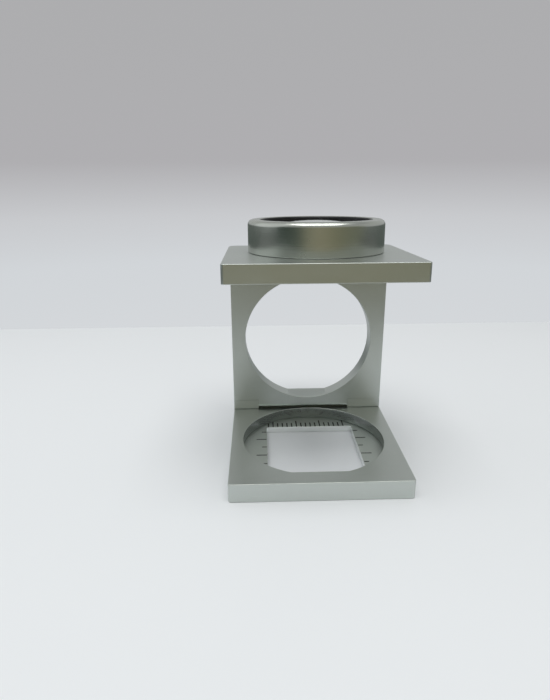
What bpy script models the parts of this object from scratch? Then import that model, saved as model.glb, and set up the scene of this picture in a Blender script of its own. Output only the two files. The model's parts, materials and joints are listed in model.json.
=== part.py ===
"""Folding three-leaf viewing loupe: a base plate with a graduated window, an upright back plate
and a lens plate that carries a round lens cell.

Lengths are in millimetres in this file and become metres where the meshes are made.  Y = 0 on the
leaves' own drawing is the front face of the back plate; FACE_Y moves it so that the origin lies
under the middle of the whole object, on the surface it stands on.
"""

from math import acos, atan2, cos, degrees, hypot, pi, radians, sin, sqrt

import bmesh
import bpy
from mathutils import Matrix, Vector

MM = 0.001

# Leaves
WIDTH = 32.0
BASE_THICK = 3.5
BASE_REACH = 30.0            # from the back plate's face to the base's front edge
BACK_THICK = 3.5
LENS_LEAF_THICK = 3.1
LENS_LEAF_REACH = 28.5       # from the back plate's face to the lens plate's front edge
LENS_LEAF_LEVEL = 32.55      # underside of the lens plate over the base's top, at the face
LENS_LEAF_TILT = radians(2.25)   # the front edge stands this much high on the stop
CORNER_ROUND = 0.5

# Hinges: the two outer lugs are on one leaf, the middle knuckle is on the other
LOWER_KNUCKLE = (-10.6, 8.9)         # ends of the middle knuckle along X, not quite central
UPPER_KNUCKLE = (-9.6, 9.6)
LUG_GAP = 0.25
PIN_RADIUS = 0.5
PIN_HOLE_RADIUS = 0.57
PIN_LENGTH = 31.6
RUN_GAP = 0.25
LOWER_PIN_Y = 0.9            # behind the back plate's face
LOWER_PIN_UP = LOWER_PIN_Y + RUN_GAP     # above the base's top, so the folded faces keep the gap
LOWER_KNUCKLE_RADIUS = LOWER_PIN_Y
LUG_CLEAR = 0.12             # the back plate's hollow passes this far outside the lugs' corners
UPPER_PIN_Y = 5.6
UPPER_KNUCKLE_RADIUS = 1.15
BACK_TOP_GAP = 0.45

# Openings
HOLE_RADIUS = 13.23
HOLE_UP = 15.83              # centre of the back plate's hole above the base's top
LAND_RISE = 0.65             # flat land at the foot of the hole's rear half
LAND_START = 1.75            # behind the back plate's face
RECESS_RADIUS = 13.7
RECESS_Y = -13.65
SEAT_RADIUS = 14.25          # stepped seat for the graduated plate, cut from below
WINDOW = 18.0
SCALE_RADIUS = 14.0
SCALE_THICK = 1.2

# Lens cell, measured from the lens plate's top surface along its own axis
CELL_FROM_FACE = 11.7
CELL_RADIUS = 12.05
CELL_HEIGHT = 5.65
CELL_ROUND = 0.9
CELL_BORE = 10.65
CELL_EYE_RADIUS = 9.77
CELL_LIP = 4.38              # underside of the lip that the eye lens sits against
CELL_SPIGOT_RADIUS = 11.3
PLATE_BORE_RADIUS = 11.55
LENS_RADIUS = 10.4

# Places worked out from the sizes above
REAR_MOST = UPPER_PIN_Y + UPPER_KNUCKLE_RADIUS
FACE_Y = (BASE_REACH - REAR_MOST) / 2
LEAF_TOP = UPPER_PIN_Y - BACK_THICK - RUN_GAP       # lens plate's top over the upper pin
LEAF_UNDER = LEAF_TOP - LENS_LEAF_THICK
LENS_LEVEL_Z = BASE_THICK + LENS_LEAF_LEVEL
UPPER_PIN_UP = -(LEAF_UNDER + UPPER_PIN_Y * sin(LENS_LEAF_TILT)) / cos(LENS_LEAF_TILT)
PIN_TO_FACE = UPPER_PIN_Y * cos(LENS_LEAF_TILT) - UPPER_PIN_UP * sin(LENS_LEAF_TILT)
LOWER_PIN = Vector((0, FACE_Y + LOWER_PIN_Y, BASE_THICK + LOWER_PIN_UP))
UPPER_PIN = Vector((0, FACE_Y + UPPER_PIN_Y, LENS_LEVEL_Z + UPPER_PIN_UP))
RECESS_CENTRE = Vector((0, FACE_Y + RECESS_Y, 0))
LEAF_CORNER_Y = UPPER_PIN_Y + 0.1                   # full width of the lens plate ends here

COARSE, MEDIUM, FINE = 24, 64, 112                  # sides of pins, of lenses, of large circles


def clear_scene():
    for obj in list(bpy.data.objects):
        bpy.data.objects.remove(obj, do_unlink=True)


def collection(name):
    made = bpy.data.collections.new(name)
    bpy.context.scene.collection.children.link(made)
    return made


def material(name, colour, roughness, metallic, transmission=0.0):
    made = bpy.data.materials.new(name)
    made.use_nodes = True
    shader = made.node_tree.nodes["Principled BSDF"]
    shader.inputs["Base Color"].default_value = (*colour, 1)
    shader.inputs["Roughness"].default_value = roughness
    shader.inputs["Metallic"].default_value = metallic
    shader.inputs["Transmission Weight"].default_value = transmission
    return made


def to_collection(obj, target):
    for old in list(obj.users_collection):
        old.objects.unlink(obj)
    target.objects.link(obj)
    return obj


def apply_transform(obj):
    obj.data.transform(obj.matrix_basis)
    obj.matrix_basis = Matrix.Identity(4)
    return obj


def box(name, low, high):
    """A box between two corners."""
    low, high = Vector(low) * MM, Vector(high) * MM
    bpy.ops.mesh.primitive_cube_add(size=1, location=(low + high) / 2)
    obj = bpy.context.object
    obj.name = name
    obj.scale = high - low
    bpy.context.view_layer.update()
    return apply_transform(obj)


def rounded_leaf(name, low, high, upright):
    """A box whose four edges along the leaf's thickness are rounded."""
    obj = box(name, low, high)
    bm = bmesh.new()
    bm.from_mesh(obj.data)
    along = 1 if upright else 2
    edges = []
    for edge in bm.edges:
        run = edge.verts[0].co - edge.verts[1].co
        if abs(run[along]) > 0.9 * run.length:
            edges.append(edge)
    bmesh.ops.bevel(bm, geom=edges, offset=CORNER_ROUND * MM, segments=4, profile=0.5,
                    affect="EDGES")
    bm.to_mesh(obj.data)
    bm.free()
    return obj


def cylinder(name, radius, start, end, sides):
    """A cylinder between two points on a line along one axis."""
    start, end = Vector(start) * MM, Vector(end) * MM
    run = end - start
    bpy.ops.mesh.primitive_cylinder_add(
        vertices=sides, radius=radius * MM, depth=run.length, location=(start + end) / 2
    )
    obj = bpy.context.object
    obj.name = name
    obj.rotation_mode = "QUATERNION"
    obj.rotation_quaternion = run.to_track_quat("Z", "Y")
    bpy.context.view_layer.update()
    return apply_transform(obj)


def extruded(name, outline, x_start, x_end):
    """A side outline of (y, z) points carried along X, made a mesh with its caps welded."""
    curve = bpy.data.curves.new(name, "CURVE")
    curve.dimensions = "2D"
    curve.fill_mode = "BOTH"
    curve.extrude = (x_end - x_start) / 2 * MM
    spline = curve.splines.new("POLY")
    spline.points.add(len(outline) - 1)
    for point, (y, z) in zip(spline.points, outline):
        point.co = (y * MM, z * MM, 0, 1)
    spline.use_cyclic_u = True
    guide = bpy.data.objects.new(name + "_outline", curve)
    bpy.context.scene.collection.objects.link(guide)
    guide.matrix_world = Matrix(
        (
            (0, 0, 1, (x_start + x_end) / 2 * MM),
            (1, 0, 0, 0),
            (0, 1, 0, 0),
            (0, 0, 0, 1),
        )
    )
    bpy.context.view_layer.update()
    evaluated = guide.evaluated_get(bpy.context.evaluated_depsgraph_get())
    mesh = bpy.data.meshes.new_from_object(evaluated)
    bm = bmesh.new()
    bm.from_mesh(mesh)
    bmesh.ops.remove_doubles(bm, verts=bm.verts, dist=1e-6)
    bm.to_mesh(mesh)
    bm.free()
    obj = bpy.data.objects.new(name, mesh)
    bpy.context.scene.collection.objects.link(obj)
    obj.matrix_world = guide.matrix_world.copy()
    bpy.data.objects.remove(guide)
    return apply_transform(obj)


def turned(name, profile, closed, steps):
    """A profile of (radius, height) points turned about the object's own Z axis."""
    mesh = bpy.data.meshes.new(name)
    points = [(r * MM, 0, z * MM) for r, z in profile]
    edges = [(i, i + 1) for i in range(len(points) - 1)]
    if closed:
        edges.append((len(points) - 1, 0))
    mesh.from_pydata(points, edges, [])
    obj = bpy.data.objects.new(name, mesh)
    bpy.context.scene.collection.objects.link(obj)
    screw = obj.modifiers.new("turn", "SCREW")
    screw.axis = "Z"
    screw.angle = 2 * pi
    screw.steps = steps
    screw.render_steps = steps
    screw.use_merge_vertices = True
    screw.merge_threshold = 1e-6
    screw.use_smooth_shade = True
    return obj


def boolean(obj, other, operation):
    """Joins or cuts at once, then removes the other object."""
    modifier = obj.modifiers.new(operation.lower(), "BOOLEAN")
    modifier.operation = operation
    modifier.solver = "EXACT"
    modifier.object = other
    bpy.context.view_layer.update()
    evaluated = obj.evaluated_get(bpy.context.evaluated_depsgraph_get())
    mesh = bpy.data.meshes.new_from_object(evaluated)
    obj.modifiers.clear()
    obj.data = mesh
    bpy.data.objects.remove(other)
    return obj


def arc(centre, radius, start_deg, end_deg, count):
    """Points on an arc, in the order from start to end."""
    points = []
    for i in range(count + 1):
        angle = radians(start_deg + (end_deg - start_deg) * i / count)
        points.append((centre[0] + radius * cos(angle), centre[1] + radius * sin(angle)))
    return points


def tangent_angle(point, centre, radius, side):
    """Direction in degrees, from the circle's centre, of the tangent point seen from a point."""
    dy, dz = point[0] - centre[0], point[1] - centre[1]
    return degrees(atan2(dz, dy) + side * acos(radius / hypot(dy, dz)))


def lug_ends(knuckle):
    """Ends along X of the two lugs that stand either side of a middle knuckle."""
    return ((-WIDTH / 2, knuckle[0] - LUG_GAP), (knuckle[1] + LUG_GAP, WIDTH / 2))


def pin_bore(obj, y, z, half_length):
    """Drills an axial hole for a hinge pin along X."""
    cutter = cylinder("bore", PIN_HOLE_RADIUS, (-half_length, y, z), (half_length, y, z), COARSE)
    return boolean(obj, cutter, "DIFFERENCE")


def finish(obj, name, look, target, parent=None):
    """Names the node, gives it its material and shading, and puts it in its collection."""
    obj.name = name
    obj.data.name = name
    obj.data.materials.clear()
    obj.data.materials.append(look)
    obj.data.shade_smooth()
    obj.data.set_sharp_from_angle(angle=radians(30))
    if parent:
        obj.parent = parent
    return to_collection(obj, target)


def base_plate():
    """Rectangular leaf with a round recess, a stepped seat below it and two hinge lugs."""
    front, rear = FACE_Y - BASE_REACH, FACE_Y + BACK_THICK
    half = WIDTH / 2
    leaf = rounded_leaf("leaf", (-half, front, 0), (half, rear, BASE_THICK), upright=False)
    pin_y, pin_z = LOWER_PIN.y, LOWER_PIN.z
    top = pin_z + LOWER_KNUCKLE_RADIUS
    lug_rear = pin_y + LOWER_KNUCKLE_RADIUS
    outline = [(FACE_Y, BASE_THICK - 1), (FACE_Y, top), (lug_rear, top)]
    outline += [(lug_rear, BASE_THICK - 1)]
    for start, end in lug_ends(LOWER_KNUCKLE):
        boolean(leaf, extruded("lug", outline, start, end), "UNION")
    recess = cylinder("recess", RECESS_RADIUS, (0, RECESS_CENTRE.y, -1),
                      (0, RECESS_CENTRE.y, BASE_THICK + 1), FINE)
    boolean(leaf, recess, "DIFFERENCE")
    seat = cylinder("seat", SEAT_RADIUS, (0, RECESS_CENTRE.y, -1),
                    (0, RECESS_CENTRE.y, SCALE_THICK + RUN_GAP), FINE)
    boolean(leaf, seat, "DIFFERENCE")
    return pin_bore(leaf, pin_y, pin_z, half + 1)


def scale_plate():
    """Thin round plate with a square window, let into the base from below."""
    y = RECESS_CENTRE.y
    disc = cylinder("disc", SCALE_RADIUS, (0, y, 0), (0, y, SCALE_THICK), FINE)
    half = WINDOW / 2
    window = box("window", (-half, y - half, -1), (half, y + half, SCALE_THICK + 1))
    return boolean(disc, window, "DIFFERENCE")


def hole_cutter(centre_z, rear):
    """Cutter for the large hole; it leaves a flat land at the foot of the hole's rear half."""
    cutter = cylinder("hole", HOLE_RADIUS, (0, FACE_Y - 1, centre_z), (0, rear + 1, centre_z), FINE)
    low = (-HOLE_RADIUS, FACE_Y + LAND_START, centre_z - HOLE_RADIUS - 1)
    land = box("land", low, (HOLE_RADIUS, rear + 2, centre_z - HOLE_RADIUS + LAND_RISE))
    boolean(cutter, land, "DIFFERENCE")
    return cutter


def back_plate():
    """Upright leaf with the large hole, a middle knuckle at its foot and two lugs at its head."""
    half = WIDTH / 2
    rear = FACE_Y + BACK_THICK
    foot = BASE_THICK + RUN_GAP
    head = LENS_LEVEL_Z - BACK_TOP_GAP
    leaf = rounded_leaf("leaf", (-half, FACE_Y, foot), (half, rear, head), upright=True)

    # The foot's middle is a knuckle, round in front; the waste below and ahead of it is cut away
    pin = (LOWER_PIN.y, LOWER_PIN.z)
    ahead, below = FACE_Y - 1, BASE_THICK - 1
    waste = [(ahead, pin[1])] + arc(pin, LOWER_KNUCKLE_RADIUS, 180, 270, 8)
    waste += [(pin[0], below), (ahead, below)]
    boolean(leaf, extruded("waste", waste, *LOWER_KNUCKLE), "DIFFERENCE")

    # Hollows that swing round the square lugs of the base
    radius = LOWER_KNUCKLE_RADIUS * sqrt(2) + LUG_CLEAR
    lip = acos(LOWER_PIN_Y / radius)
    hollow = [(ahead, below), (ahead, pin[1] + radius * sin(lip))]
    hollow += arc(pin, radius, 180 - degrees(lip), 0, 12) + [(pin[0] + radius, below)]
    for start, end in ((-half - 1, LOWER_KNUCKLE[0]), (LOWER_KNUCKLE[1], half + 1)):
        boolean(leaf, extruded("hollow", hollow, start, end), "DIFFERENCE")

    pin = (UPPER_PIN.y, UPPER_PIN.z)
    shoulder = (FACE_Y + 0.3, head - 0.3)
    heel = (rear, head - 3.4)
    first = tangent_angle(shoulder, pin, UPPER_KNUCKLE_RADIUS, -1)
    last = tangent_angle(heel, pin, UPPER_KNUCKLE_RADIUS, 1)
    sweep = (last - first) % -360
    outline = [(FACE_Y + 0.3, heel[1]), shoulder]
    outline += arc(pin, UPPER_KNUCKLE_RADIUS, first, first + sweep, 14)
    outline += [heel]
    for start, end in lug_ends(UPPER_KNUCKLE):
        boolean(leaf, extruded("lug", outline, start, end), "UNION")

    boolean(leaf, hole_cutter(BASE_THICK + HOLE_UP, rear), "DIFFERENCE")

    pin_bore(leaf, LOWER_PIN.y, LOWER_PIN.z, half + 1)
    return pin_bore(leaf, UPPER_PIN.y, UPPER_PIN.z, half + 1)


def lens_plate():
    """Leaf with the bore for the lens cell and the middle knuckle, drawn about the upper pin."""
    half = WIDTH / 2
    front = -(PIN_TO_FACE + LENS_LEAF_REACH)
    low = (-half, front, LEAF_UNDER)
    leaf = rounded_leaf("leaf", low, (half, -LEAF_CORNER_Y, LEAF_TOP), upright=False)
    slope = (-3.0, LEAF_TOP)
    first = tangent_angle(slope, (0, 0), UPPER_KNUCKLE_RADIUS, -1)
    tongue = [(-LEAF_CORNER_Y - 1.3, LEAF_UNDER), (-LEAF_CORNER_Y - 1.3, LEAF_TOP), slope]
    tongue += arc((0, 0), UPPER_KNUCKLE_RADIUS, first, -90, 16)
    tongue += [(-1.5, LEAF_UNDER)]
    boolean(leaf, extruded("tongue", tongue, *UPPER_KNUCKLE), "UNION")
    cell_y = -(PIN_TO_FACE + CELL_FROM_FACE)
    bore = cylinder("bore", PLATE_BORE_RADIUS, (0, cell_y, LEAF_UNDER - 1),
                    (0, cell_y, LEAF_TOP + 1), FINE)
    boolean(leaf, bore, "DIFFERENCE")
    return pin_bore(leaf, 0, 0, half + 1)


def lens_cell():
    """Turned cup with a rounded rim, an inner lip over the eye lens and a spigot in the plate."""
    outer = arc((CELL_RADIUS - CELL_ROUND, CELL_HEIGHT - CELL_ROUND), CELL_ROUND, 90, 0, 8)
    eye_round = 0.4
    eye = arc((CELL_EYE_RADIUS + eye_round, CELL_HEIGHT - eye_round), eye_round, 180, 90, 4)
    foot = -LENS_LEAF_THICK + RUN_GAP
    profile = eye + outer
    profile += [(CELL_RADIUS, RUN_GAP), (CELL_SPIGOT_RADIUS, RUN_GAP)]
    profile += [(CELL_SPIGOT_RADIUS, foot), (CELL_BORE, foot)]
    profile += [(CELL_BORE, CELL_LIP), (CELL_EYE_RADIUS, CELL_LIP)]
    return turned("cell", profile, True, FINE)


def dome(apex_z, radius_of_curvature, upward, count=9):
    """Points of a spherical lens face, from the middle to the rim."""
    points = []
    for i in range(count + 1):
        r = LENS_RADIUS * i / count
        sag = radius_of_curvature - sqrt(radius_of_curvature**2 - r * r)
        points.append((r, apex_z - sag if upward else apex_z + sag))
    return points


def eye_lens():
    """Biconvex lens just under the cell's rim."""
    upper = dome(CELL_HEIGHT - 0.22, 38.0, True)
    lower = dome(1.74, 60.0, False)
    return turned("eye", upper + lower[::-1], False, MEDIUM)


def field_lens():
    """Plano-convex lens with its flat side down."""
    upper = dome(1.19, 50.0, True)
    flat_z = -0.9
    return turned("field", upper + [(LENS_RADIUS, flat_z), (0, flat_z)], False, MEDIUM)


def spacer_ring():
    """Thin tube that keeps the two lenses apart."""
    inner, low, high = 9.7, 0.35, 2.25
    profile = [(inner, high), (LENS_RADIUS, high), (LENS_RADIUS, low), (inner, low)]
    return turned("spacer", profile, True, MEDIUM)


def retaining_ring():
    """Screwed ring below the lenses, with two slots for a pin spanner."""
    inner, outer, high, low = 9.4, 10.4, -1.15, -2.6
    profile = [(inner, high), (outer, high), (outer, low), (inner, low)]
    ring = turned("ring", profile, True, MEDIUM)
    evaluated = ring.evaluated_get(bpy.context.evaluated_depsgraph_get())
    mesh = bpy.data.meshes.new_from_object(evaluated)
    ring.modifiers.clear()
    ring.data = mesh
    slot_half, slot_deep = 0.5, 0.6
    slots = box("slots", (-12, -slot_half, low - 1), (12, slot_half, low + slot_deep))
    return boolean(ring, slots, "DIFFERENCE")


def hinge_pin(y, z):
    return cylinder("pin", PIN_RADIUS, (-PIN_LENGTH / 2, y, z), (PIN_LENGTH / 2, y, z), COARSE)


def main():
    clear_scene()
    bpy.context.scene.unit_settings.scale_length = 1.0
    parts = collection("viewing_loupe")

    satin = material("satin_alloy", (0.56, 0.57, 0.55), 0.34, 1.0)
    cell_metal = material("cell_metal", (0.50, 0.50, 0.46), 0.28, 1.0)
    scale_metal = material("scale_metal", (0.48, 0.50, 0.49), 0.30, 1.0)
    steel = material("pin_steel", (0.60, 0.60, 0.60), 0.25, 1.0)
    black = material("black_anodised", (0.02, 0.02, 0.022), 0.45, 0.6)
    glass = material("lens_glass", (0.95, 0.98, 0.97), 0.02, 0.0, 1.0)

    finish(base_plate(), "base_plate", satin, parts)
    finish(scale_plate(), "scale_plate", scale_metal, parts)
    finish(hinge_pin(LOWER_PIN.y, LOWER_PIN.z), "lower_hinge_pin", steel, parts)
    finish(back_plate(), "back_plate", satin, parts)
    finish(hinge_pin(UPPER_PIN.y, UPPER_PIN.z), "upper_hinge_pin", steel, parts)

    axis = bpy.data.objects.new("upper_hinge_axis", None)
    parts.objects.link(axis)
    axis.location = UPPER_PIN * MM
    axis.rotation_euler.x = -LENS_LEAF_TILT
    finish(lens_plate(), "lens_plate", satin, parts, axis)

    cell_centre = bpy.data.objects.new("lens_axis", None)
    parts.objects.link(cell_centre)
    cell_centre.parent = axis
    cell_centre.location = (0, -(PIN_TO_FACE + CELL_FROM_FACE) * MM, LEAF_TOP * MM)
    finish(lens_cell(), "lens_cell", cell_metal, parts, cell_centre)
    finish(eye_lens(), "eye_lens", glass, parts, cell_centre)
    finish(spacer_ring(), "lens_spacer", black, parts, cell_centre)
    finish(field_lens(), "field_lens", glass, parts, cell_centre)
    finish(retaining_ring(), "retaining_ring", black, parts, cell_centre)
    bpy.context.view_layer.update()


main()
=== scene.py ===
"""Fine pieces, finishes, floor, light and camera for the folding viewing loupe.

Lengths in the code are millimetres, made metres by MM.  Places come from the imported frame's boxes
and joints, so each piece stands where its plain CAD node stands.
"""

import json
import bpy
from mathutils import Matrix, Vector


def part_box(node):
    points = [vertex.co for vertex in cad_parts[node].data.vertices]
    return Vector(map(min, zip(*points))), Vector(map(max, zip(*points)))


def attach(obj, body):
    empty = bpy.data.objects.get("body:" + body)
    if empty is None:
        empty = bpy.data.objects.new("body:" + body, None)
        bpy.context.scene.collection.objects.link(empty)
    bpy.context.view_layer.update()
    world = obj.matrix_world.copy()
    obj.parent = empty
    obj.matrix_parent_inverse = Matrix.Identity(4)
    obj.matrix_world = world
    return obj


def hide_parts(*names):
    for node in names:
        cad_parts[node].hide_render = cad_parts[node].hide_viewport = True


bl_info = {
    "name": "Viewing Loupe",
    "version": (1, 0, 0),
    "blender": (4, 5, 0),
    "location": "3D Viewport > Sidebar > Loupe",
    "description": "Builds the fine pieces of a three-leaf folding viewing loupe",
    "category": "Add Mesh",
}

from math import acos, atan2, cos, degrees, hypot, pi, radians, sin, sqrt

import bmesh
import bpy
from bpy.props import FloatProperty, FloatVectorProperty, IntProperty, PointerProperty
from mathutils import Matrix, Vector

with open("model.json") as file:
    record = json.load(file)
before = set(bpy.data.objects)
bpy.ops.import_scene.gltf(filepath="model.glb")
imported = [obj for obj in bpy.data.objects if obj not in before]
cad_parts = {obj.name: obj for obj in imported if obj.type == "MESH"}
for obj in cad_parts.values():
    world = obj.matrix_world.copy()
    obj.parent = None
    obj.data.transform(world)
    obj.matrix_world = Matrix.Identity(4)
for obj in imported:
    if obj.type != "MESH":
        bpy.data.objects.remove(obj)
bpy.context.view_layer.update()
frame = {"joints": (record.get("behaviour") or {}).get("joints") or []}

MM = 0.001

# ---------------------------------------------------------------- places, from the frame

JOINTS = {joint["name"]: joint for joint in frame["joints"]}
LOWER_PIN = Vector(JOINTS["base_hinge"]["pos_m"]) / MM
UPPER_PIN = Vector(JOINTS["lens_hinge"]["pos_m"]) / MM


def node_box(name):
    """A CAD node's lowest and highest corners in millimetres."""
    low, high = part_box(name)
    return low / MM, high / MM


BASE_LOW, BASE_HIGH = node_box("base_plate")
BACK_LOW = node_box("back_plate")[0]
SCALE_LOW, SCALE_HIGH = node_box("scale_plate")
HALF_WIDTH = BASE_HIGH.x
FACE_Y = BACK_LOW.y                          # front face of the back plate
SCALE_CENTRE = (SCALE_LOW + SCALE_HIGH) / 2

# ---------------------------------------------------------------- shape details

BASE_THICK = 3.5
BACK_THICK = 3.5
LENS_LEAF_THICK = 3.1
LENS_LEAF_REACH = 28.5
LENS_LEAF_LEVEL = 32.55
LENS_LEAF_TILT = radians(2.25)
LOWER_KNUCKLE = (-10.6, 8.9)
UPPER_KNUCKLE = (-9.6, 9.6)
LUG_GAP = 0.03                               # closer than the CAD gap, so that the seam barely shows
RUN_GAP = 0.25
PIN_RADIUS = 0.5
PIN_HOLE_RADIUS = 0.55
LOWER_KNUCKLE_RADIUS = 0.9
UPPER_KNUCKLE_RADIUS = 1.15
LUG_CLEAR = 0.02
BACK_TOP_GAP = 0.45
HOLE_RADIUS = 13.23
HOLE_UP = 15.83
LAND_RISE = 0.65
LAND_START = 1.75
RECESS_RADIUS = 13.7
SEAT_RADIUS = 14.25
SCALE_RADIUS = 14.0
WINDOW = 18.0
CELL_FROM_FACE = 11.7
CELL_RADIUS = 12.05
CELL_HEIGHT = 5.65
CELL_BORE = 10.65
CELL_LIP = 4.38
CELL_SPIGOT_RADIUS = 11.3
PLATE_BORE_RADIUS = 11.55
LENS_RADIUS = 10.4

BACK_REAR = FACE_Y + BACK_THICK
LENS_LEVEL_Z = BASE_THICK + LENS_LEAF_LEVEL
PIN_BACK = UPPER_PIN.y - FACE_Y
LEAF_TOP = PIN_BACK - BACK_THICK - RUN_GAP   # lens plate's top over the upper pin
LEAF_UNDER = LEAF_TOP - LENS_LEAF_THICK
PIN_TO_FACE = PIN_BACK * cos(LENS_LEAF_TILT) - (UPPER_PIN.z - LENS_LEVEL_Z) * sin(LENS_LEAF_TILT)
LEAF_CORNER_Y = PIN_BACK + 0.1
CELL_Y = -(PIN_TO_FACE + CELL_FROM_FACE)

# Turns the lens leaf's own drawing, made level about the upper pin, into its place
LEAF_PLACE = Matrix.Translation(UPPER_PIN) @ Matrix.Rotation(-LENS_LEAF_TILT, 4, "X")
CELL_PLACE = LEAF_PLACE @ Matrix.Translation((0, CELL_Y, LEAF_TOP))

SIDES = 256                                  # of the large circles
PIN_HOLE_SIDES = 32
ROUNDED_FROM = 32                            # degrees between faces, from which an edge is rounded
SHADED_SHARP_FROM = 38                       # degrees, from which an edge is shaded sharp


# ---------------------------------------------------------------- values a user can change


class LoupeSizes(bpy.types.PropertyGroup):
    """Small sizes that finish the leaves, the cell and the rules."""

    edge: FloatProperty(
        name="Edge round", description="Radius on the leaves' edges, mm",
        default=0.1, min=0.02, max=0.4
    )
    corner: FloatProperty(
        name="Leaf corner", description="Radius of the leaves' corners, mm",
        default=0.45, min=0.1, max=2
    )
    rear_corner: FloatProperty(
        name="Rear corner", description="Radius of the lens plate's rear corners, mm", default=1.6,
        min=0.1, max=3,
    )
    rim: FloatProperty(
        name="Rim round", description="Radius on the lens cell's rim, mm",
        default=0.9, min=0.2, max=1.2
    )
    eye_radius: FloatProperty(
        name="Eye radius", description="Radius of the cell's top opening, mm",
        default=9.77, min=8, max=10.3
    )
    fine_pitch: FloatProperty(
        name="Fine pitch", description="Pitch of the rule behind the window, mm",
        default=1.0, min=0.2, max=5
    )
    fine_count: IntProperty(
        name="Fine marks", description="Marks on the rule behind the window",
        default=17, min=2, max=40
    )
    inch_pitch: FloatProperty(
        name="Side pitch", description="Pitch of the rules at the window's sides, mm",
        default=3.175, min=0.5, max=10,
    )
    mark_width: FloatProperty(
        name="Mark width", description="Width of an engraved mark, mm",
        default=0.27, min=0.05, max=0.5
    )


class LoupeFinish(bpy.types.PropertyGroup):
    """Colours of the metals and the floor."""

    leaf: FloatVectorProperty(
        name="Leaves", description="Satin plating on the leaves", subtype="COLOR", size=3,
        default=(0.56, 0.595, 0.57), min=0, max=1,
    )
    cell: FloatVectorProperty(
        name="Lens cell", description="Turned metal of the lens cell", subtype="COLOR", size=3,
        default=(0.52, 0.54, 0.50), min=0, max=1,
    )
    scale: FloatVectorProperty(
        name="Scale plate", description="Ground metal under the rules", subtype="COLOR", size=3,
        default=(0.60, 0.64, 0.61), min=0, max=1,
    )
    pin: FloatVectorProperty(
        name="Pins", description="Bright steel of the hinge pins", subtype="COLOR", size=3,
        default=(0.58, 0.58, 0.57), min=0, max=1,
    )
    floor: FloatVectorProperty(
        name="Floor", description="Pale table top", subtype="COLOR", size=3,
        default=(0.86, 0.88, 0.91), min=0, max=1,
    )


# ---------------------------------------------------------------- node building


def socket_in(group, name, kind, default):
    made = group.interface.new_socket(name=name, in_out="INPUT", socket_type=kind)
    if default is not None:
        made.default_value = default
    return made


def socket_out(group, name, kind):
    return group.interface.new_socket(name=name, in_out="OUTPUT", socket_type=kind)


def math_node(nodes, links, operation, first, second, third=None):
    """A Math node whose inputs are sockets or numbers; returns its output."""
    node = nodes.new("ShaderNodeMath")
    node.operation = operation
    for slot, value in zip(node.inputs, (first, second, third)):
        if value is None:
            continue
        if isinstance(value, (int, float)):
            slot.default_value = value
        else:
            links.new(value, slot)
    return node.outputs[0]


def noise(nodes, links, vector, scale, detail, rough=0.5):
    node = nodes.new("ShaderNodeTexNoise")
    node.inputs["Scale"].default_value = scale
    node.inputs["Detail"].default_value = detail
    node.inputs["Roughness"].default_value = rough
    links.new(vector, node.inputs["Vector"])
    return node.outputs["Fac"]


def stretched(nodes, links, vector, scale):
    """The vector scaled along each axis, so that a noise on it draws out into lines."""
    mapping = nodes.new("ShaderNodeMapping")
    mapping.inputs["Scale"].default_value = scale
    links.new(vector, mapping.inputs["Vector"])
    return mapping.outputs["Vector"]


def ranged(nodes, links, value, low, high, to_low, to_high):
    node = nodes.new("ShaderNodeMapRange")
    ends = (("From Min", low), ("From Max", high), ("To Min", to_low), ("To Max", to_high))
    for name, number in ends:
        if isinstance(number, (int, float)):
            node.inputs[name].default_value = number
        else:
            links.new(number, node.inputs[name])
    links.new(value, node.inputs["Value"])
    return node.outputs["Result"]


def mixed(nodes, links, factor, first, second, blend="MIX"):
    node = nodes.new("ShaderNodeMix")
    node.data_type = "RGBA"
    node.blend_type = blend
    for index, value in ((0, factor), (6, first), (7, second)):
        socket = node.inputs[index]
        if isinstance(value, (int, float, tuple)):
            socket.default_value = value
        else:
            links.new(value, socket)
    return node.outputs[2]


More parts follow.
